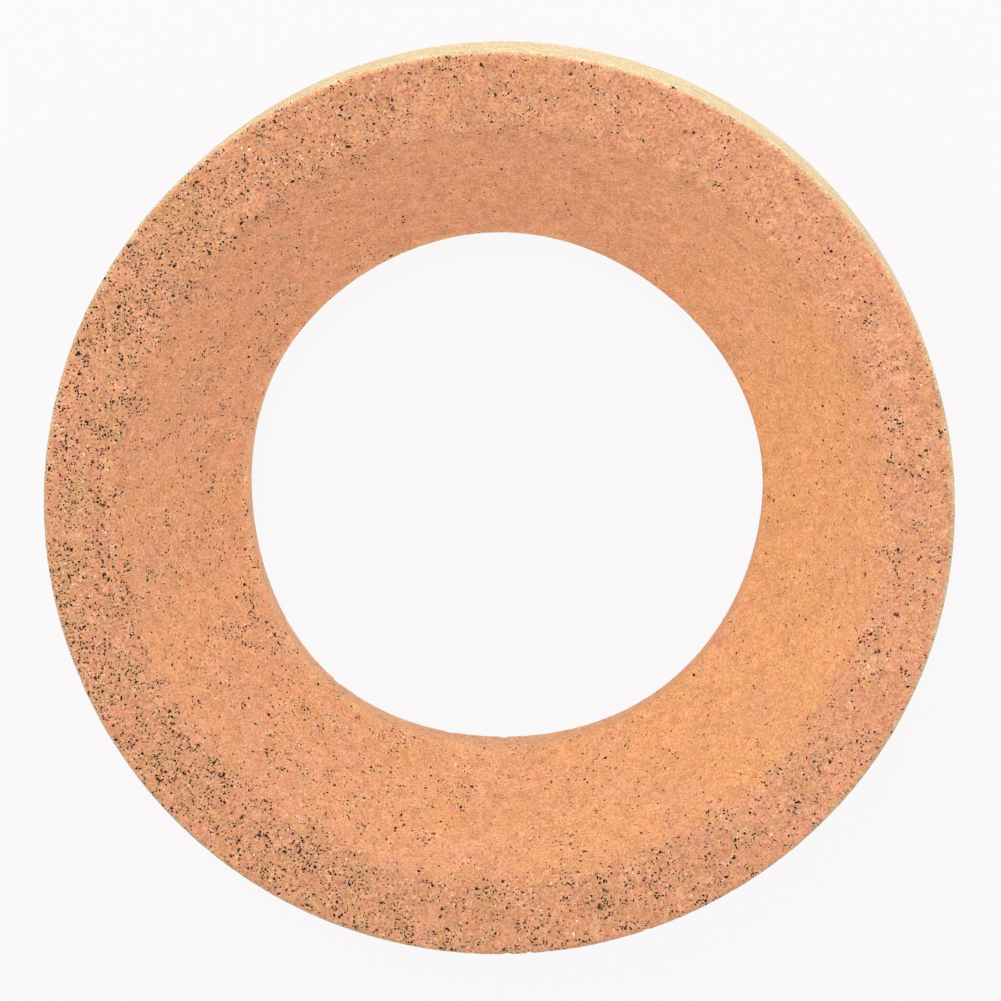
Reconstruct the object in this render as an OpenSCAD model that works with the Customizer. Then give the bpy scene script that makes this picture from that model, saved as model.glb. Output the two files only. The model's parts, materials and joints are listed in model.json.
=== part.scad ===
// Cork ring: a stand for round-bottomed flasks, turned from one block of pressed cork.
// A flat rim runs round the top. Inside it a cone leads down to a through hole, which
// ends in a short straight wall. Every edge is eased by sanding.
// Sizes are in millimetres. The origin is the centre of the base, and +Z points up.

/* [Ring] */
// Diameter across the outside
outside_d = 140; // [110:1:240]
// Height from the base to the flat rim
ring_h = 30; // [16:1:60]
// Width of the flat rim round the top
rim_w = 11; // [4:0.5:26]

/* [Hole] */
// Diameter of the straight wall at the foot of the cone
hole_d = 81; // [30:1:108]
// Height of the straight wall above the base
wall_h = 9; // [4:0.5:24]

/* [Eased edges] */
// Radius on the outer edges of the base and the rim
outer_edge_r = 1; // [0.2:0.1:2.5]
// Radius where the rim meets the cone
mouth_edge_r = 0.8; // [0.2:0.1:4]
// Radius where the cone meets the straight wall
throat_edge_r = 1.5; // [0.2:0.1:6]
// Radius where the straight wall meets the base
hole_edge_r = 0.8; // [0.2:0.1:1.6]

/* [Smoothness] */
// Number of sides of a round surface in the preview
round_sides = 180; // [48:12:360]

/* [Hidden] */
cork_colour = [0.86, 0.62, 0.45];
outside_r = outside_d / 2;
hole_r = hole_d / 2;
// The cone's mouth is the inner edge of the flat rim
mouth_r = outside_r - rim_w;

// Corners of the ring's half section, anticlockwise from the foot of the hole
CORNERS = [
    [hole_r, 0],
    [outside_r, 0],
    [outside_r, ring_h],
    [mouth_r, ring_h],
    [hole_r, wall_h]
];
// Radius that eases each of those corners
EDGE_RADII = [hole_edge_r, outer_edge_r, outer_edge_r, mouth_edge_r, throat_edge_r];

// Unit vector along v
function unit(v) = v / norm(v);

// Corner i of the half section, counted round past either end
function corner(i) = CORNERS[(i + len(CORNERS)) % len(CORNERS)];

// Unit vector from corner i towards its neighbour, one step on or one step back
function toward(i, step) = unit(corner(i + step) - corner(i));

// Half the angle inside corner i
function half_angle(i) = acos(toward(i, 1) * toward(i, -1)) / 2;

// Point where the arc at corner i meets the edge on that side
function touch(i, step) = corner(i) + toward(i, step) * EDGE_RADII[i] / tan(half_angle(i));

// Centre of the arc at corner i, on the line that halves the corner
function arc_centre(i) =
    corner(i) + unit(toward(i, 1) + toward(i, -1)) * EDGE_RADII[i] / sin(half_angle(i));

// Half section: the straight edges between the arcs, with a round at each corner
module half_section() {
    polygon([for (i = [0 : len(CORNERS) - 1]) each [touch(i, -1), touch(i, 1)]]);
    for (i = [0 : len(CORNERS) - 1])
        translate(arc_centre(i)) circle(r = EDGE_RADII[i], $fn = 48);
}

// The whole ring, one turned piece
module cork_ring() {
    color(cork_colour)
        rotate_extrude($fn = round_sides) half_section();
}

cork_ring();
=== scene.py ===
"""Cork ring for round-bottomed flasks, dressed as one block of pressed cork, turned and sanded.

The frame gives the ring's size. The script builds the ring as one closed, turned surface with the
unevenness, pores and chips of real cork, gives it a pressed cork finish with painted glare on the
outer wall and painted shade in its pores and chips, and lights it in a plain pale studio. Lengths
are metres, unless a name ends in _mm.
"""

import json
import logging
import math
from dataclasses import dataclass, field
from enum import Enum

import bpy
import numpy as np
from mathutils import Matrix, Vector


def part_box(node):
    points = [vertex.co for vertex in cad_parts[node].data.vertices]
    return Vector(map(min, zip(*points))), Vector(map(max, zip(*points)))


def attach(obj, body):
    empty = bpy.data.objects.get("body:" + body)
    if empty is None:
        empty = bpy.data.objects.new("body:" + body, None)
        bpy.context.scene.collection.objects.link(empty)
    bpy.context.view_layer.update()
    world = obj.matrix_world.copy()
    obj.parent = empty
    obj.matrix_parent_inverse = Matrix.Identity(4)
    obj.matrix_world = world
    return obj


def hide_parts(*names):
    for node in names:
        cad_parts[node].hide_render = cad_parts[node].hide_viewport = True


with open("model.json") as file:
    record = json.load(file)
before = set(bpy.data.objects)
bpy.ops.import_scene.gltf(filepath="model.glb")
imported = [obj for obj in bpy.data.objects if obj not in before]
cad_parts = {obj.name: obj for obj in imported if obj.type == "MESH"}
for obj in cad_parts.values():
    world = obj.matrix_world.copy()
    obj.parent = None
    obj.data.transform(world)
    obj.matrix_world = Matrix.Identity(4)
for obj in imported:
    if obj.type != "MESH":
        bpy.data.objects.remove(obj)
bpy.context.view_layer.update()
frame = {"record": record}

MM = 0.001
LOG = logging.getLogger("cork_ring")


class Face(Enum):
    """The turned faces of the ring, in order round its half section from the foot of the hole."""

    BASE = 0
    SIDE = 1
    RIM = 2
    WELL = 3
    THROAT = 4


def linear(hex_colour: str) -> tuple[float, float, float, float]:
    """Turns an sRGB hex colour into linear light.

    Args:
        hex_colour: Six hex digits, such as "cb906b".

    Returns:
        Linear red, green and blue, with an alpha of 1.
    """
    channels = np.array([int(hex_colour[i:i + 2], 16) for i in (0, 2, 4)]) / 255
    bent = np.where(channels <= 0.04045, channels / 12.92, ((channels + 0.055) / 1.055) ** 2.4)
    return (*(float(c) for c in bent), 1.0)


def add(tree: bpy.types.NodeTree, kind: str, inputs: dict | None = None, **settings) -> bpy.types.Node:
    """Adds one node with its settings, input values and links.

    Args:
        tree: The node tree that the node goes into.
        kind: The node's type name.
        inputs: Input name or number to a value, or to another node's output socket.
        **settings: Properties of the node itself, such as operation.

    Returns:
        The new node.
    """
    made = tree.nodes.new(kind)
    for name, value in settings.items():
        setattr(made, name, value)
    for name, value in (inputs or {}).items():
        if isinstance(value, bpy.types.NodeSocket):
            tree.links.new(value, made.inputs[name])
        else:
            made.inputs[name].default_value = value
    return made


def maths(tree: bpy.types.NodeTree, operation: str, *values: object) -> bpy.types.NodeSocket:
    """Adds one step of arithmetic.

    Args:
        tree: The material's node tree.
        operation: The step's name, such as MULTIPLY_ADD.
        *values: Numbers, or outputs that give them.

    Returns:
        The result's output.
    """
    return add(tree, "ShaderNodeMath", dict(enumerate(values)), operation=operation).outputs[0]


def blend(
    tree: bpy.types.NodeTree, share: bpy.types.NodeSocket, first: object, second: object
) -> bpy.types.NodeSocket:
    """Mixes two colours.

    Args:
        tree: The material's node tree.
        share: Share of the second colour.
        first: A colour, or an output that gives one.
        second: A colour, or an output that gives one.

    Returns:
        The mixed colour's output.
    """
    return add(tree, "ShaderNodeMix", {0: share, 6: first, 7: second}, data_type="RGBA").outputs[2]


def eased(
    tree: bpy.types.NodeTree, value: bpy.types.NodeSocket, start: tuple[float, float],
    end: tuple[float, float] = (0.0, 1.0),
) -> bpy.types.NodeSocket:
    """Maps one range smoothly on another.

    Args:
        tree: The material's node tree.
        value: The value to map.
        start: The range it comes from.
        end: The range it goes to.

    Returns:
        The mapped value's output.
    """
    ranges = {"From Min": start[0], "From Max": start[1], "To Min": end[0], "To Max": end[1]}
    mapped = add(tree, "ShaderNodeMapRange", {"Value": value, **ranges}, interpolation_type="SMOOTHSTEP")
    return mapped.outputs[0]


def tone_row(
    tree: bpy.types.NodeTree, pick: bpy.types.NodeSocket, hexes: tuple[str, ...]
) -> bpy.types.NodeSocket:
    """Picks a granule's tone from a row of them.

    Args:
        tree: The material's node tree.
        pick: A random number from 0 to 1 for each granule.
        hexes: The tones, as sRGB hex colours.

    Returns:
        The colour output.
    """
    ramp = add(tree, "ShaderNodeValToRGB", {0: pick})
    stops = ramp.color_ramp.elements
    while len(stops) < len(hexes):
        stops.new(0.5)
    for i, tone in enumerate(hexes):
        stops[i].position = i / (len(hexes) - 1)
        stops[i].color = linear(tone)
    return ramp.outputs["Color"]


def specks(
    tree: bpy.types.NodeTree, place: bpy.types.NodeSocket, chance: bpy.types.NodeSocket,
    spacing_mm: float, radius_mm: float, offset: float = 0.0,
) -> tuple[bpy.types.NodeSocket, bpy.types.NodeSocket, bpy.types.NodeSocket]:
    """Scatters specks: one may sit in each cell of a lattice, if the cell's number is low enough.

    Args:
        tree: The material's node tree.
        place: The place on the cork, in millimetres.
        chance: Share of the cells that hold a dark speck.
        spacing_mm: Size of a cell.
        radius_mm: Radius of the largest speck.
        offset: Moves the pattern, so that two sets of specks differ.

    Returns:
        1 inside a dark speck; up to 1 in the pale tissue close round some specks and in the few
        flecks that other cells hold; and a random number from 0 to 1 for the cell.
    """
    smallest = 0.65
    most_tissue = 0.4
    step = (offset, 2 * offset, 3 * offset)
    moved = add(tree, "ShaderNodeVectorMath", {0: place, 1: step}, operation="ADD").outputs[0]
    lattice = {"Vector": moved, "Scale": 1 / spacing_mm}
    cell = add(tree, "ShaderNodeTexVoronoi", lattice, feature="F1")
    number = add(tree, "ShaderNodeSeparateColor", {0: cell.outputs["Color"]})
    edge = radius_mm / spacing_mm
    size = maths(tree, "MULTIPLY_ADD", number.outputs[1], (1 - smallest) * edge, smallest * edge)
    inside = maths(tree, "SUBTRACT", size, cell.outputs["Distance"])
    shape = eased(tree, inside, (-0.02, 0.07))
    held = maths(tree, "LESS_THAN", number.outputs[0], chance)
    dark = maths(tree, "MULTIPLY", shape, held)

    # Cells whose number lies just past the chance hold a pale fleck instead, mostly among dark ones
    half = maths(tree, "MULTIPLY", chance, 0.6)
    more = maths(tree, "MULTIPLY_ADD", chance, half, chance)
    flecked = maths(tree, "LESS_THAN", number.outputs[0], more)
    fleck = maths(tree, "MULTIPLY", shape, maths(tree, "SUBTRACT", flecked, held))
    near = maths(tree, "MULTIPLY", eased(tree, inside, (-0.24, -0.06)), held)
    some = eased(tree, number.outputs[2], (0.4, 0.9), (0.0, most_tissue))
    pale = maths(tree, "MAXIMUM", fleck, maths(tree, "MULTIPLY", near, some))
    return dark, pale, number.outputs[1]


def hashed(cells: np.ndarray, salt: int) -> np.ndarray:
    """Gives each whole-number cell a fixed random number.

    The three cell numbers are multiplied by large odd numbers, mixed by shifts and exclusive or, and
    the top bits are read as a share of 1.

    Args:
        cells: Whole numbers, shape (..., 3).
        salt: Chooses one of many independent sets of numbers.

    Returns:
        Numbers from 0 to 1, shape (...).
    """
    c = cells.astype(np.int64).astype(np.uint64)
    h = c[..., 0] * np.uint64(0x9E3779B97F4A7C15) ^ c[..., 1] * np.uint64(0xC2B2AE3D27D4EB4F)
    h ^= c[..., 2] * np.uint64(0x165667B19E3779F9) ^ np.uint64((salt * 0x27D4EB2F165667C5) % 2**64)
    h ^= h >> np.uint64(29)
    h *= np.uint64(0xBF58476D1CE4E5B9)
    h ^= h >> np.uint64(32)
    h *= np.uint64(0x94D049BB133111EB)
    return (h >> np.uint64(40)).astype(float) / 2**24


def soft_noise(places: np.ndarray, size: float, salt: int) -> np.ndarray:
    """Smooth random waves.

    Each corner of a cubic lattice has a random height, and a place takes the heights of the eight
    corners round it, each weighted by 3t^2 - 2t^3 along every axis.

    Args:
        places: Points, shape (n, 3).
        size: Spacing of the lattice, in the same unit as the points.
        salt: Chooses the random heights.

    Returns:
        Heights from -1 to 1, shape (n,).
    """
    scaled = places / size
    low = np.floor(scaled)
    t = scaled - low
    t = t * t * (3 - 2 * t)
    total = np.zeros(len(places))
    for corner in np.ndindex(2, 2, 2):
        weight = np.prod(np.where(np.array(corner) == 1, t, 1 - t), axis=1)
        total += weight * hashed(low + corner, salt)
    return 2 * total - 1


def granule_cells(places: np.ndarray, size: float, salt: int) -> tuple[np.ndarray, np.ndarray]:
    """Packs space with granules and says where each place lies in its own.

    Every cell of a cubic lattice holds one seed at a random spot, and a place belongs to its nearest
    seed. The distance to the second nearest seed less that to the nearest is 0 on the joint between
    two granules, and grows towards the middle of one.

    Args:
        places: Points, shape (n, 3).
        size: Mean granule size, in the same unit as the points.
        salt: Chooses the seeds.

    Returns:
        Distance from the joint in granule sizes, and a random number from 0 to 1 for the granule.
    """
    scaled = places / size
    home = np.floor(scaled)
    nearest = np.full(len(places), np.inf)
    second = np.full(len(places), np.inf)
    owner = np.zeros(len(places))
    for step in np.ndindex(3, 3, 3):
        cell = home + np.array(step) - 1
        seed = cell + np.stack([hashed(cell, salt + axis) for axis in range(3)], axis=1)
        away = np.linalg.norm(scaled - seed, axis=1)
        closer = away < nearest
        second = np.where(closer, nearest, np.minimum(second, away))
        owner = np.where(closer, hashed(cell, salt + 3), owner)
        nearest = np.where(closer, away, nearest)
    return second - nearest, owner


def smooth_step(value: np.ndarray, low: float, high: float) -> np.ndarray:
    """Rises from 0 at low to 1 at high as 3t^2 - 2t^3."""
    t = np.clip((value - low) / (high - low), 0, 1)
    return t * t * (3 - 2 * t)


def ring_mesh(name: str, places: np.ndarray, sides: int, count: int) -> bpy.types.Mesh:
    """Joins the points of a turned section into one closed skin of four-sided faces.

    Rows and columns both close on themselves, so the skin has no border and no pole.

    Args:
        name: The mesh's name.
        places: Points, one whole section after another.
        sides: Number of sections round the ring.
        count: Number of points in a section.

    Returns:
        The mesh, shaded smooth.
    """
    a, b = np.meshgrid(np.arange(sides), np.arange(count), indexing="ij")
    next_a, next_b = (a + 1) % sides, (b + 1) % count
    loop = [a * count + b, next_a * count + b, next_a * count + next_b, a * count + next_b]
    quads = np.stack(loop, axis=2).reshape(-1, 4)
    mesh = bpy.data.meshes.new(name)
    mesh.vertices.add(len(places))
    mesh.vertices.foreach_set("co", places.astype(np.float32).ravel())
    mesh.loops.add(quads.size)
    mesh.loops.foreach_set("vertex_index", quads.astype(np.int32).ravel())
    mesh.polygons.add(len(quads))
    mesh.polygons.foreach_set("loop_start", np.arange(0, quads.size, 4, dtype=np.int32))
    mesh.polygons.foreach_set("use_smooth", np.ones(len(quads), dtype=bool))
    mesh.update(calc_edges=True)
    mesh.validate()
    return mesh


@dataclass(frozen=True)
class Round:
    """A value that changes smoothly as it goes round the ring.

    Attributes:
        mean: Its mean.
        waves: Each wave's height, how many times it goes round, and the angle of its peak in degrees.
            Where the value is a change of radius, a wave that goes round once shifts the circle.
    """

    mean: float
    waves: tuple[tuple[float, int, float], ...]

    def at(self, angle: np.ndarray) -> np.ndarray:
        """Gives the value: the mean, plus each wave's height times the cosine of its own angle.

        Args:
            angle: Angles round the ring, in radians.

        Returns:
            Values, one for each angle.
        """
        value = np.full(np.shape(angle), self.mean)
        for height, times, peak_deg in self.waves:
            value = value + height * np.cos(times * (angle - math.radians(peak_deg)))
        return value


@dataclass(frozen=True)
class Corner:
    """A corner of the half section.

    Attributes:
        r: Distance from the ring's axis.
        z: Height above the base.
        ease: Radius that eases it.
        wander: How far its circle strays from true.
    """

    r: float
    z: float
    ease: float
    wander: Round


@dataclass(frozen=True)
class Block:
    """How the block of cork, the painted glare on its outer wall and the paler foot of its well change
    from one side of the ring to the other.

    The waves were set under the studio's own lights, so some of them may stand for light
    rather than for the cork itself. Under other lights they may need to be set again.

    Attributes:
        warmth: How orange the sanded cork is, where 1 is the full sanded tone.
        speckle: How thickly the bark specks lie.
        wall_glare: Share of the pale side tone on the outer wall, which is painted glare, most at 77°.
        foot_pale: Share of that pale tone at the foot of the well, most on the side at 165°.
        foot_light: How much lighter the foot of the well is, most on the side at 165°.
        sawn_light: How much lighter the sawn cork is.
        sanded_light: How much lighter the sanded cork is.
    """

    warmth: Round = Round(0.42, ((0.34, 1, 0), (0.22, 1, -90), (0.2, 2, 0)))
    speckle: Round = Round(0.96, ((0.95, 1, 202), (0.35, 2, 9.5)))
    # Painted glare: the outer wall's share of the pale cream tone, highest at 77° where the low strip
    # lights it
    wall_glare: Round = Round(0.83, ((0.17, 1, 77),))
    foot_pale: Round = Round(0.27, ((0.13, 1, 165),))
    foot_light: Round = Round(0.0975, ((0.13, 1, 165), (0.0325, 2, 165)))
    sawn_light: Round = Round(0.0, ((0.035, 1, -20), (0.025, 2, 0)))
    sanded_light: Round = Round(0.0, ((0.015, 1, 63),))


@dataclass(frozen=True)
class Pores:
    """A family of pores or chips that are deep enough to be modelled.

    Attributes:
        count: How many there are.
        faces: The faces they lie on.
        radius: Smallest and largest radius, in metres.
        depth: Greatest depth as a share of the radius.
        on_edges: Whether they sit on the eased edges at the ends of those faces.
        dark: How dark the painted shade at the bottom is, from 0 to 1.
    """

    count: int
    faces: tuple[Face, ...]
    radius: tuple[float, float]
    depth: float
    on_edges: bool = False
    dark: float = 1.0


@dataclass(frozen=True)
class PressedCork:
    """Agglomerated cork: ground bark of 1 to 2 mm pressed into a block with a little binder, then turned.

    The grain is matt and warm. A saw or knife cut leaves it open, pinkish and full of dark bark
    specks. Sanding closes it, and turns it smoother and more orange. The turned side is a little
    paler, and its cream tone also holds painted glare from a bright low light.

    Attributes:
        cut_tones: Granule colours on the sawn faces, as sRGB hex.
        sanded_tones: Granule colours in the sanded well, where it is most orange.
        dull_tones: Granule colours in the sanded well, where it is least orange.
        side_glare_tones: Granule colours on the turned side: slightly paler cork, made cream by painted
            glare.
        bark_dust: Khaki tint where bark dust gathers.
        bark_speck: Near black specks of bark.
        bark_crumb: Brown crumbs of bark.
        pale_fleck: Cream flecks of soft cell tissue beside the specks.
        pore: Colour of the painted shade at the bottom of a pore or chip.
        granule_mm: Mean size of a granule.
        flake_mm: Size of the mottling inside a granule.
        fine_speck_mm: Spacing of the lattice that holds the fine specks.
        fine_radius_mm: Radius of the largest fine speck.
        coarse_speck_mm: Spacing of the lattice that holds the coarse specks.
        coarse_radius_mm: Radius of the largest coarse speck.
        relief_mm: Height of the fine ridges that the bump draws.
    """

    cut_tones: tuple[str, ...] = ("cc8669", "cd8d63", "d38e70", "ce9065", "da9b76", "ca8969")
    sanded_tones: tuple[str, ...] = ("d89267", "de9b66", "e4a16e", "db9a65", "e7a571", "da9467")
    dull_tones: tuple[str, ...] = ("d38e6e", "da9970", "e09f7a", "d7996f", "e5a27f", "d69170")
    side_glare_tones: tuple[str, ...] = ("bca37f", "c0a984", "c6b28d", "c1ac83", "cbbb96", "c0a785")
    bark_dust: str = "b8905c"
    bark_speck: str = "120906"
    bark_crumb: str = "4d2211"
    pale_fleck: str = "fae6c0"
    pore: str = "3c2114"
    granule_mm: float = 1.15
    flake_mm: float = 0.36
    # Real bark dust is finer than this, and would be lost at the distance the ring is seen from
    fine_speck_mm: float = 0.44
    fine_radius_mm: float = 0.198
    coarse_speck_mm: float = 1.05
    coarse_radius_mm: float = 0.3
    relief_mm: float = 0.12

    def material(self) -> bpy.types.Material:
        """Builds the finish from Object coordinates and the values that the ring's own points carry.

        Returns:
            The finished material.
        """
        material = bpy.data.materials.new("pressed_cork_turned")
        material.use_nodes = True
        tree = material.node_tree
        tree.nodes.clear()
        carried = ("sanded", "warm", "side", "speckle", "khaki", "patch", "pore")
        sanded, warm, side, speckle, khaki, patch, pore = (
            add(tree, "ShaderNodeAttribute", attribute_name=name).outputs["Fac"] for name in carried
        )
        place = add(tree, "ShaderNodeTexCoord").outputs["Object"]
        scaled = {0: place, "Scale": 1 / MM}
        mm = add(tree, "ShaderNodeVectorMath", scaled, operation="SCALE").outputs[0]

        # A fine noise bends every pattern, so that granules and specks have ragged outlines
        ragged = {"Vector": mm, "Scale": 1.1, "Detail": 2.0, "Roughness": 0.6}
        bend = add(tree, "ShaderNodeTexNoise", ragged).outputs["Color"]
        pushed = {0: bend, 1: (1.0, 1.0, 1.0), 2: mm}
        bent = add(tree, "ShaderNodeVectorMath", pushed, operation="MULTIPLY_ADD").outputs[0]

        # Granules: packed cells, each with its own tone
        packed = {"Vector": bent, "Scale": 1 / self.granule_mm}
        granule = add(tree, "ShaderNodeTexVoronoi", packed, feature="F1")
        number = add(tree, "ShaderNodeSeparateColor", {0: granule.outputs["Color"]})
        pick = number.outputs[0]
        cut = tone_row(tree, pick, self.cut_tones)
        dull = tone_row(tree, pick, self.dull_tones)
        smooth = blend(tree, warm, dull, tone_row(tree, pick, self.sanded_tones))
        # The side tone is slightly paler cork made cream by painted glare from a bright low light
        turned = tone_row(tree, pick, self.side_glare_tones)
        tone = blend(tree, side, blend(tree, sanded, cut, smooth), turned)
        tone = blend(tree, khaki, tone, linear(self.bark_dust))

        # Mottling: layers of cells inside a granule take the light differently
        flaked = {"Vector": mm, "Scale": 1 / self.flake_mm, "Detail": 2.0, "Roughness": 0.7}
        flake = add(tree, "ShaderNodeTexNoise", flaked).outputs["Fac"]
        depth = eased(tree, sanded, (0.0, 1.0), (1.9, 1.6))
        mottle = maths(tree, "MULTIPLY", maths(tree, "SUBTRACT", flake, 0.5), depth)
        light = maths(tree, "ADD", mottle, patch)
        tone = add(tree, "ShaderNodeVectorMath", {0: tone, "Scale": light}, operation="SCALE").outputs[0]

        # Bark specks fill some granules, and crowd along the joints between them
        crowd = eased(tree, granule.outputs["Distance"], (0.25, 0.6), (0.6, 1.25))
        barky = eased(tree, number.outputs[1], (0.3, 0.85), (0.2, 2.4))
        chance = maths(tree, "MULTIPLY", maths(tree, "MULTIPLY", crowd, barky), speckle)
        rarer = maths(tree, "MULTIPLY", chance, 0.5)
        fine, pale, kind = specks(tree, bent, chance, self.fine_speck_mm, self.fine_radius_mm)
        coarse = specks(tree, bent, rarer, self.coarse_speck_mm, self.coarse_radius_mm, offset=7.3)[0]
        dark = maths(tree, "MAXIMUM", fine, coarse)
        # Painted shade: pores and edge chips darken towards their deepest point
        hole = eased(tree, maths(tree, "ADD", pore, mottle), (0.36, 0.7))
        tone = blend(tree, maths(tree, "MULTIPLY", pale, 0.75), tone, linear(self.pale_fleck))
        blackness = eased(tree, kind, (0.1, 0.6))
        bark = blend(tree, blackness, linear(self.bark_crumb), linear(self.bark_speck))
        tone = blend(tree, dark, tone, bark)
        tone = blend(tree, hole, tone, linear(self.pore))

        # Relief: the mottled grain stands in fine ridges, flattened where it is sanded
        strength = eased(tree, sanded, (0.0, 1.0), (0.8, 0.45))
        ridges = {"Height": flake, "Strength": strength, "Distance": self.relief_mm * MM}
        surface = {
            "Base Color": tone,
            "Roughness": eased(tree, sanded, (0.0, 1.0), (0.92, 0.8)),
            "Specular IOR Level": 0.3,
            "IOR": 1.45,
            "Normal": add(tree, "ShaderNodeBump", ridges).outputs[0],
        }
        shader = add(tree, "ShaderNodeBsdfPrincipled", surface)
        add(tree, "ShaderNodeOutputMaterial", {"Surface": shader.outputs[0]})
        return material


@dataclass
class CorkRing:
    """The ring itself: one turned piece of pressed cork.

    Attributes:
        finish: The material it wears.
        block: How the cork, the painted glare on its wall and the paler foot of its well change from side
            to side.
        rim_w: Width of the flat rim.
        wall_h: Height of the straight wall at the foot of the hole.
        sides: Number of steps round the ring.
        arc_steps: Number of steps round each eased edge.
        row_gap: Distance between rows of points on each face.
        grain: Depth of the joints between granules on each face.
        swell: Depth of the slow, shallow hollows that cross every face.
        proud: How far the skin stands out, before the grain sinks it, on every face but the base.
        pores: The families of pores and chips.
    """

    finish: PressedCork = field(default_factory=PressedCork)
    block: Block = field(default_factory=Block)
    rim_w: float = 11 * MM
    wall_h: float = 9 * MM
    sides: int = 640
    arc_steps: int = 5
    row_gap: dict[Face, float] = field(
        default_factory=lambda: {
            Face.BASE: 1.5 * MM,
            Face.SIDE: 0.9 * MM,
            Face.RIM: 0.5 * MM,
            Face.WELL: 0.56 * MM,
            Face.THROAT: 0.9 * MM,
        }
    )
    grain: dict[Face, float] = field(
        default_factory=lambda: {
            Face.BASE: 0.05 * MM,
            Face.SIDE: 0.035 * MM,
            Face.RIM: 0.06 * MM,
            Face.WELL: 0.02 * MM,
            Face.THROAT: 0.04 * MM,
        }
    )
    swell: float = 0.04 * MM
    proud: float = 0.09 * MM
    pores: tuple[Pores, ...] = (
        Pores(34, (Face.RIM,), (0.4 * MM, 0.75 * MM), 0.5, dark=0.85),
        Pores(12, (Face.WELL,), (0.5 * MM, 0.9 * MM), 0.4, dark=0.8),
        Pores(44, (Face.SIDE,), (0.6 * MM, 1.2 * MM), 0.4, dark=0.7),
        Pores(70, (Face.BASE,), (0.9 * MM, 1.6 * MM), 0.4, dark=0.9),
        Pores(10, (Face.THROAT,), (0.6 * MM, 1.0 * MM), 0.4, dark=0.8),
        Pores(60, (Face.RIM, Face.SIDE), (0.5 * MM, 1.1 * MM), 0.4, on_edges=True, dark=0.5),
        Pores(40, (Face.BASE, Face.THROAT), (0.6 * MM, 1.3 * MM), 0.4, on_edges=True, dark=0.5),
    )

    def corners(self) -> list[Corner]:
        """Places the corners of the half section from the frame's box and the bore mount.

        Returns:
            The corners, anticlockwise from the foot of the hole.
        """
        low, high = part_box("cork_ring")
        bore = next(m for m in frame["record"]["mounts"] if m["name"] == "bore")
        outside_r = (high.x - low.x) / 2
        hole_r = bore["dims"]["r_mm"] * MM
        hole_waves = ((0.31, 1, 0), (-0.09, 1, 90), (0.28, 3, -9), (0.1, 4, 45), (0.21, 5, 14))
        mouth_waves = ((0.28, 1, 0), (-0.38, 1, 90), (0.52, 2, 9), (0.26, 3, -31), (0.17, 4, 24))
        outside_waves = ((0.05, 1, 0), (-0.03, 1, 90), (0.07, 2, 8), (0.07, 3, -22), (0.05, 4, -22))
        hole, mouth, outside = (
            Round(0.0, tuple((height_mm * MM, times, peak) for height_mm, times, peak in waves))
            for waves in (hole_waves, mouth_waves, outside_waves)
        )
        return [
            Corner(hole_r, low.z, 0.8 * MM, hole),
            Corner(outside_r, low.z, 1.0 * MM, outside),
            Corner(outside_r, high.z, 1.0 * MM, outside),
            Corner(outside_r - self.rim_w, high.z, 2.6 * MM, mouth),
            Corner(hole_r, low.z + self.wall_h, 1.5 * MM, hole),
        ]

    def half_section(self) -> dict[str, np.ndarray]:
        """Walks round the half section: an arc at each corner, then a straight run to the next.

        An arc's centre lies on the line that halves its corner, at the ease divided by the sine of
        half the corner's angle. A point's run is its share of the way from one corner to the next.

        Returns:
            Arrays with one entry for each row: point (r, z), normal (r, z), face, run, and edge,
            which is 1 on an eased edge.
        """
        corners = self.corners()
        count = len(corners)
        spots = np.array([[c.r, c.z] for c in corners])
        ahead = np.roll(spots, -1, axis=0) - spots
        lengths = np.linalg.norm(ahead, axis=1)
        ahead = ahead / lengths[:, None]
        back = -np.roll(ahead, 1, axis=0)
        half = np.arccos(np.sum(ahead * back, axis=1)) / 2
        ease = np.array([c.ease for c in corners])
        reach = ease / np.tan(half)
        inward = (ahead + back) / np.linalg.norm(ahead + back, axis=1)[:, None]
        centres = spots + inward * (ease / np.sin(half))[:, None]
        rows: dict[str, list[np.ndarray]] = {k: [] for k in ("point", "normal", "face", "run", "edge")}
        for i, face in enumerate(Face):
            before = (i - 1) % count
            out_before = np.array([ahead[before][1], -ahead[before][0]])
            out_after = np.array([ahead[i][1], -ahead[i][0]])
            share = np.linspace(0, 1, self.arc_steps + 1)[:, None]
            turn = math.pi - 2 * half[i]
            old_part, new_part = np.sin((1 - share) * turn), np.sin(share * turn)
            spin = (old_part * out_before + new_part * out_after) / math.sin(turn)
            middle = self.arc_steps / 2
            steps = np.arange(self.arc_steps + 1)
            on_next = steps >= middle
            rows["point"].append(centres[i] + ease[i] * spin)
            rows["normal"].append(spin)
            rows["face"].append(np.where(on_next, i, before))
            rows["run"].append(np.where(on_next, 0.0, 1.0))
            rows["edge"].append(np.ones(len(steps)))
            start = reach[i]
            stop = lengths[i] - reach[(i + 1) % count]
            pieces = max(2, round((stop - start) / self.row_gap[face]))
            along = np.linspace(start, stop, pieces + 1)[1:-1]
            rows["point"].append(spots[i] + along[:, None] * ahead[i])
            rows["normal"].append(np.repeat(out_after[None], len(along), axis=0))
            rows["face"].append(np.full(len(along), i))
            rows["run"].append(along / lengths[i])
            rows["edge"].append(np.zeros(len(along)))
        return {name: np.concatenate(parts) for name, parts in rows.items()}

    def wandering(self, rows: dict[str, np.ndarray], angle: np.ndarray) -> np.ndarray:
        """Carries the straying of the corner circles across the faces between them.

        A point's change of radius is the two corners' changes, weighted by its run between them.

        Args:
            rows: The half section.
            angle: Angles round the ring.

        Returns:
            Changes of radius, one row for each angle.
        """
        changes = np.stack([c.wander.at(angle) for c in self.corners()], axis=1)
        start = rows["face"]
        end = (rows["face"] + 1) % changes.shape[1]
        return changes[:, start] * (1 - rows["run"]) + changes[:, end] * rows["run"]

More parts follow.
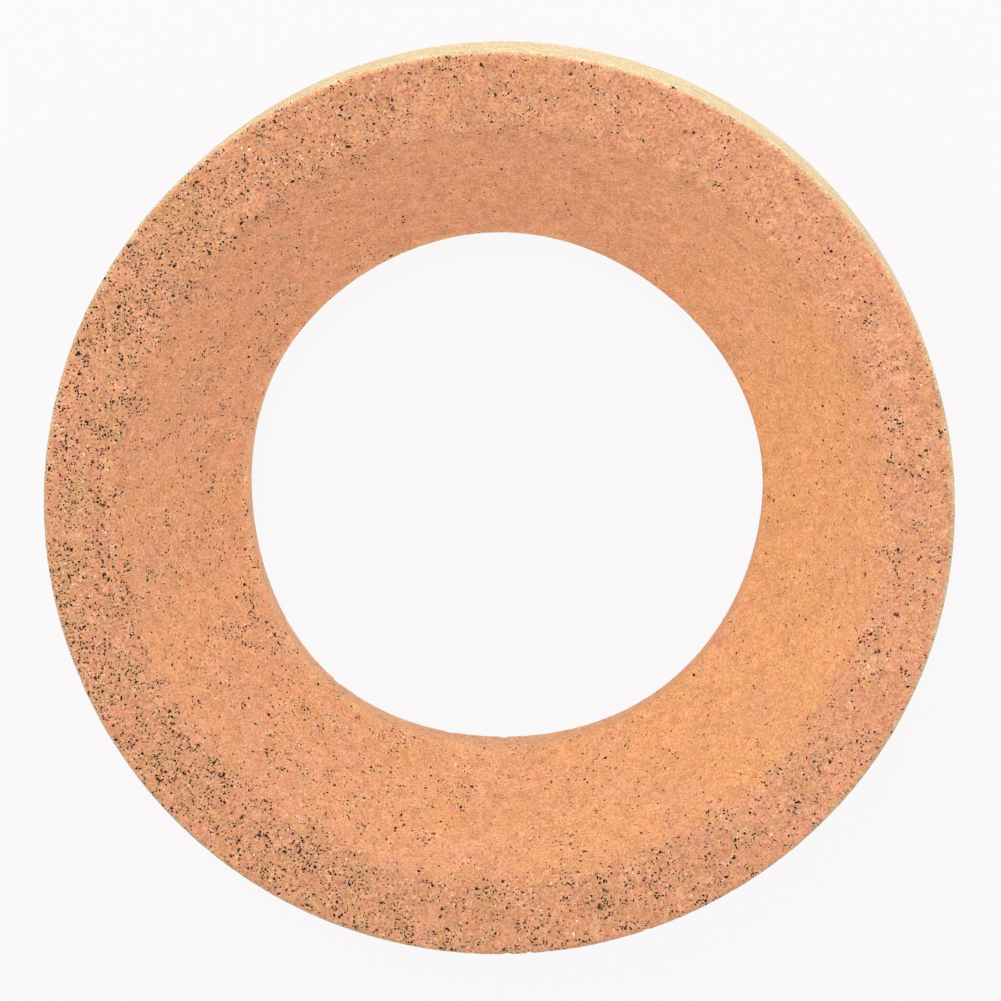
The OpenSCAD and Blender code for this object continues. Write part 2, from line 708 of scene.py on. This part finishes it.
    def dig(
        self, family: Pores, places: np.ndarray, face: np.ndarray, edge: np.ndarray, area: np.ndarray,
        luck: np.random.Generator,
    ) -> tuple[np.ndarray, np.ndarray]:
        """Sinks one family of pores.

        Each pore is a bowl: its depth is greatest where the distance from its centre, stretched along
        one random direction and jogged by a fine noise, is 0, and falls to nothing at its radius.

        Args:
            family: The pores to sink.
            places: Every point of the surface.
            face: The face that each point lies on.
            edge: 1 for a point on an eased edge.
            area: The patch of surface that each point stands for.
            luck: The random numbers to use.

        Returns:
            Depth in metres, and painted shade from 0 to 1 that is darkest where the bowl is deepest, at
            each point.
        """
        allowed = np.isin(face, [f.value for f in family.faces]) & (edge == float(family.on_edges))
        weight = area * allowed
        centres = places[luck.choice(len(places), family.count, replace=False, p=weight / weight.sum())]
        radii = luck.uniform(*family.radius, family.count)
        stretch = luck.normal(size=(family.count, 3))
        stretch /= np.linalg.norm(stretch, axis=1)[:, None]
        ragged = 0.3 * soft_noise(places, 0.5 * MM, 71)
        depth = np.zeros(len(places))
        hollow_shade = np.zeros(len(places))
        for centre, radius, way in zip(centres, radii, stretch):
            offset = places - centre
            along = offset @ way
            away = np.linalg.norm(offset, axis=1) + 0.6 * np.abs(along)
            bowl = 1 - smooth_step(away / radius + ragged, 0.25, 1.1)
            depth = np.maximum(depth, family.depth * radius * bowl)
            # Painted shade: the deeper part of each bowl is darkened
            hollow_shade = np.maximum(hollow_shade, family.dark * smooth_step(bowl, 0.35, 0.9))
        return depth, hollow_shade

    def carried(self, places: np.ndarray, face: np.ndarray, angle: np.ndarray) -> dict[str, np.ndarray]:
        """Works out the broad values that the finish reads from the ring's points.

        Sanding fades in over the lip of the well along a wavering line. The pale side, whose cream tone
        is painted glare over slightly paler cork, fades out over the rim's edge, and the foot of the well
        is paler and lighter. Bark specks come in clusters, where two sizes of smooth noise add up high,
        and are sparse where the cork is sanded. The block says how the tones, the glare, the pale foot
        and the specks change round the ring.

        Args:
            places: Every point of the surface.
            face: The face that each point lies on.
            angle: Each point's angle round the ring.

        Returns:
            Values for each point, by name.
        """
        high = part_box("cork_ring")[1]
        lip = self.corners()[Face.WELL.value]
        from_axis = np.hypot(places[:, 0], places[:, 1])
        inward_mm = (lip.r + lip.wander.at(angle) - from_axis) / MM
        out_mm = (high.x - from_axis) / MM
        down_mm = (high.z - places[:, 2]) / MM
        up_mm = (places[:, 2] - self.wall_h) / MM
        on_lip = np.isin(face, [Face.RIM.value, Face.WELL.value])
        on_wall = np.isin(face, [Face.SIDE.value, Face.RIM.value])
        in_well = np.isin(face, [Face.WELL.value, Face.THROAT.value])

        waver = 0.9 * soft_noise(places, 2.6 * MM, 31) + 0.7 * soft_noise(places, 1.3 * MM, 32)
        sanded = np.where(on_lip, smooth_step(inward_mm + waver, -0.8, 2.2), 0.0)
        sanded = np.where(face == Face.THROAT.value, 1.0, sanded)
        # Painted glare: the pale side tone covers the outer wall and fades over the rim's edge, most at
        # 77°
        turned = 1 - smooth_step(out_mm - down_mm + 0.3 * waver, -0.6, 0.8)
        # The foot of the well is made paler and lighter, most on the side at 165°
        foot_band = np.where(in_well, 1 - smooth_step(up_mm, -0.5, 1.7), 0.0)
        pale_foot = foot_band * self.block.foot_pale.at(angle)
        side = np.where(on_wall, turned * self.block.wall_glare.at(angle), pale_foot)

        warmth = self.block.warmth.at(angle)
        warmth += 0.4 * soft_noise(places, 8 * MM, 35) + 0.3 * soft_noise(places, 2.4 * MM, 36)

        cloud = soft_noise(places, 3.6 * MM, 41) + 0.8 * soft_noise(places, 1.8 * MM, 42)
        cluster = smooth_step(cloud, -0.2, 0.8)
        share = np.where(face == Face.SIDE.value, 0.3, 1 - 0.82 * sanded) * self.block.speckle.at(angle)
        khaki = 0.05 + 0.2 * soft_noise(places, 1.7 * MM, 51) + 0.17 * cluster * share

        patch = 1 + 0.015 * soft_noise(places, 7 * MM, 61) + 0.045 * soft_noise(places, 1.5 * MM, 62)
        # The foot of the well is made lighter, most on the side at 165°
        patch += foot_band * self.block.foot_light.at(angle) + sanded * self.block.sanded_light.at(angle)
        patch += (1 - sanded) * self.block.sawn_light.at(angle)
        return {
            "sanded": sanded,
            "warm": np.clip(warmth, 0, 1),
            "side": side,
            "speckle": (0.27 + 0.9 * cluster) * share,
            "khaki": np.clip(khaki, 0, 1) * (1 - side),
            "patch": patch,
        }

    def build(self) -> bpy.types.Object:
        """Turns the half section about the ring's axis, and sinks its grain and pores.

        A point is at (r cos a, r sin a, z), where r carries the straying, moved along its normal by
        the depth of the grain and pores there.

        Returns:
            The piece, at the origin, whose points carry the values that the finish reads.
        """
        rows = self.half_section()
        count = len(rows["run"])
        angle = np.arange(self.sides) * 2 * math.pi / self.sides
        radius = rows["point"][:, 0] + self.wandering(rows, angle)
        ring_angle = np.repeat(angle[:, None], count, axis=1)
        cos, sin = np.cos(ring_angle), np.sin(ring_angle)
        height = np.broadcast_to(rows["point"][:, 1], radius.shape)
        out, up = rows["normal"][:, 0], np.broadcast_to(rows["normal"][:, 1], radius.shape)
        places = np.stack([radius * cos, radius * sin, height], axis=2).reshape(-1, 3)
        normals = np.stack([out * cos, out * sin, up], axis=2).reshape(-1, 3)
        face = np.tile(rows["face"], self.sides)
        edge = np.tile(rows["edge"], self.sides)
        gap = np.linalg.norm(np.roll(rows["point"], -1, axis=0) - rows["point"], axis=1)
        area = (radius * (gap + np.roll(gap, 1))).ravel()

        push = np.stack([soft_noise(places, 1.1 * MM, 11 + i) for i in range(3)], axis=1)
        off_joint, own = granule_cells(places + 0.35 * MM * push, self.finish.granule_mm * MM, 23)
        joint_depth = (1 - smooth_step(off_joint, 0.0, 0.3)) * 0.6 + 0.4 * own
        grain = np.array([self.grain[f] for f in Face])[face]
        sunk = grain * joint_depth + self.swell * (0.5 + 0.5 * soft_noise(places, 14 * MM, 5))
        hollow_shade = np.zeros(len(places))
        luck = np.random.default_rng(4)
        for family in self.pores:
            depth, dark = self.dig(family, places, face, edge, area, luck)
            sunk = np.maximum(sunk, depth)
            hollow_shade = np.maximum(hollow_shade, dark)
        proud = np.where(face == Face.BASE.value, 0.0, self.proud)
        places = places + normals * (proud - sunk)[:, None]

        mesh = ring_mesh("cork_ring_turned", places, self.sides, count)
        values = self.carried(places, face, ring_angle.ravel())
        values["pore"] = hollow_shade
        for name, value in values.items():
            carried = mesh.attributes.new(name, "FLOAT", "POINT")
            carried.data.foreach_set("value", value.astype(np.float32))

        piece = bpy.data.objects.new("cork_ring_turned", mesh)
        bpy.context.scene.collection.objects.link(piece)
        piece.data.materials.append(self.finish.material())
        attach(piece, "root")
        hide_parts("cork_ring")
        LOG.info("%s: %d faces, %d rows", piece.name, len(mesh.polygons), count)
        return piece


@dataclass
class Studio:
    """A light table under a soft white sky, with one soft lamp and a low strip on the +Y side.

    Attributes:
        sky: Brightness of the white surroundings.
        table_glow: Brightness of the table's own light.
        table_reach: Distance from the middle of the table to its edges.
        lamp_watts: Power of the soft lamp overhead.
        lamp_size: Width and height of that lamp.
        lamp_way_deg: The direction it hangs in, anticlockwise from +X.
        lamp_up_deg: How high it hangs, up from level.
        lamp_away: Distance from the lamp to the middle of the ring.
        strip_watts: Power of the low strip.
        strip_size: Width and height of the strip.
        strip_way: Where the strip stands, from the middle of the ring.
        lean_deg: How far the camera leans from straight above.
        lean_way_deg: The direction it leans, anticlockwise from +X.
        camera_away: Distance from the camera to the middle of the rim.
        camera_shift: How far the middle of the rim lies right of and above the line of sight.
        lens_mm: Focal length.
    """

    sky: float = 0.93
    table_glow: float = 0.905
    table_reach: float = 3.0
    lamp_watts: float = 5.6
    lamp_size: tuple[float, float] = (0.7, 0.7)
    lamp_way_deg: float = 105
    lamp_up_deg: float = 55
    lamp_away: float = 1.2
    strip_watts: float = 5.5
    strip_size: tuple[float, float] = (1.6, 0.028)
    strip_way: tuple[float, float, float] = (0.1, 0.8, 0.0)
    lean_deg: float = 6.81
    lean_way_deg: float = 76.7
    camera_away: float = 1.065
    camera_shift: tuple[float, float] = (-0.41 * MM, -0.95 * MM)
    lens_mm: float = 249.2

    def table(self) -> None:
        """Lays the pale floor under the ring: a sheet that glows evenly, with a faint diffuse share."""
        reach = self.table_reach
        mesh = bpy.data.meshes.new("light_table")
        corners = [(-reach, -reach, 0), (reach, -reach, 0), (reach, reach, 0), (-reach, reach, 0)]
        mesh.from_pydata(corners, [], [(0, 1, 2, 3)])
        floor = bpy.data.objects.new("light_table", mesh)
        bpy.context.scene.collection.objects.link(floor)
        material = bpy.data.materials.new("opal_acrylic_sheet")
        material.use_nodes = True
        tree = material.node_tree
        tree.nodes.clear()
        surface = {
            "Base Color": linear("3f3f3f"),
            "Roughness": 1.0,
            "Specular IOR Level": 0.0,
            "Emission Color": linear("fffdfe"),
            "Emission Strength": self.table_glow,
        }
        shader = add(tree, "ShaderNodeBsdfPrincipled", surface)
        add(tree, "ShaderNodeOutputMaterial", {"Surface": shader.outputs[0]})
        mesh.materials.append(material)

    def lamp(self, name: str, watts: float, size: tuple[float, float], way: Vector) -> None:
        """Hangs one soft rectangular lamp, aimed at the middle of the ring.

        Args:
            name: The lamp's name.
            watts: Its power.
            size: Its width and height.
            way: Where it hangs, from the middle of the ring.
        """
        low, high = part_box("cork_ring")
        data = bpy.data.lights.new(name, "AREA")
        data.shape = "RECTANGLE"
        data.energy = watts
        data.size, data.size_y = size
        lamp = bpy.data.objects.new(name, data)
        lamp.location = Vector((0.0, 0.0, (low.z + high.z) / 2)) + way
        lamp.rotation_mode = "QUATERNION"
        lamp.rotation_quaternion = way.to_track_quat("Z", "Y")
        lamp.visible_camera = False
        bpy.context.scene.collection.objects.link(lamp)

    def light(self) -> None:
        """Sets the white sky, the overhead lamp, and the low strip that brightens the wall it faces."""
        world = bpy.data.worlds.new("white_sky")
        world.use_nodes = True
        background = world.node_tree.nodes["Background"]
        background.inputs["Color"].default_value = linear("ffffff")
        background.inputs["Strength"].default_value = self.sky
        bpy.context.scene.world = world
        bpy.context.scene.view_settings.view_transform = "Standard"
        way, up = math.radians(self.lamp_way_deg), math.radians(self.lamp_up_deg)
        over = Vector((math.cos(way) * math.cos(up), math.sin(way) * math.cos(up), math.sin(up)))
        self.lamp("soft_lamp", self.lamp_watts, self.lamp_size, over * self.lamp_away)
        self.lamp("low_strip", self.strip_watts, self.strip_size, Vector(self.strip_way))

    def camera(self) -> None:
        """Stands the camera almost straight above the ring, with the studio's lean."""
        low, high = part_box("cork_ring")
        middle = Vector(((low.x + high.x) / 2, (low.y + high.y) / 2, high.z))
        lean, way = math.radians(self.lean_deg), math.radians(self.lean_way_deg)
        sight = Vector((math.sin(lean) * math.cos(way), math.sin(lean) * math.sin(way), math.cos(lean)))
        turn = Vector((0.0, 0.0, 1.0)).rotation_difference(sight).to_matrix()
        data = bpy.data.cameras.new("camera")
        data.sensor_width = 36.0
        data.lens = self.lens_mm
        data.clip_start, data.clip_end = 0.05, 10.0
        camera = bpy.data.objects.new("camera", data)
        right, up = self.camera_shift
        place = middle - turn @ Vector((right, up, -self.camera_away))
        camera.matrix_world = Matrix.Translation(place) @ turn.to_4x4()
        bpy.context.scene.collection.objects.link(camera)
        bpy.context.scene.camera = camera

    def build(self) -> None:
        """Sets up the floor, the lights and the camera."""
        self.table()
        self.light()
        self.camera()
        LOG.info("studio: floor, two lamps and camera")


def main() -> None:
    """Builds the ring, then the studio round it."""
    logging.basicConfig(level=logging.INFO, format="%(name)s: %(message)s")
    CorkRing().build()
    Studio().build()


if __name__ == "__main__":
    main()
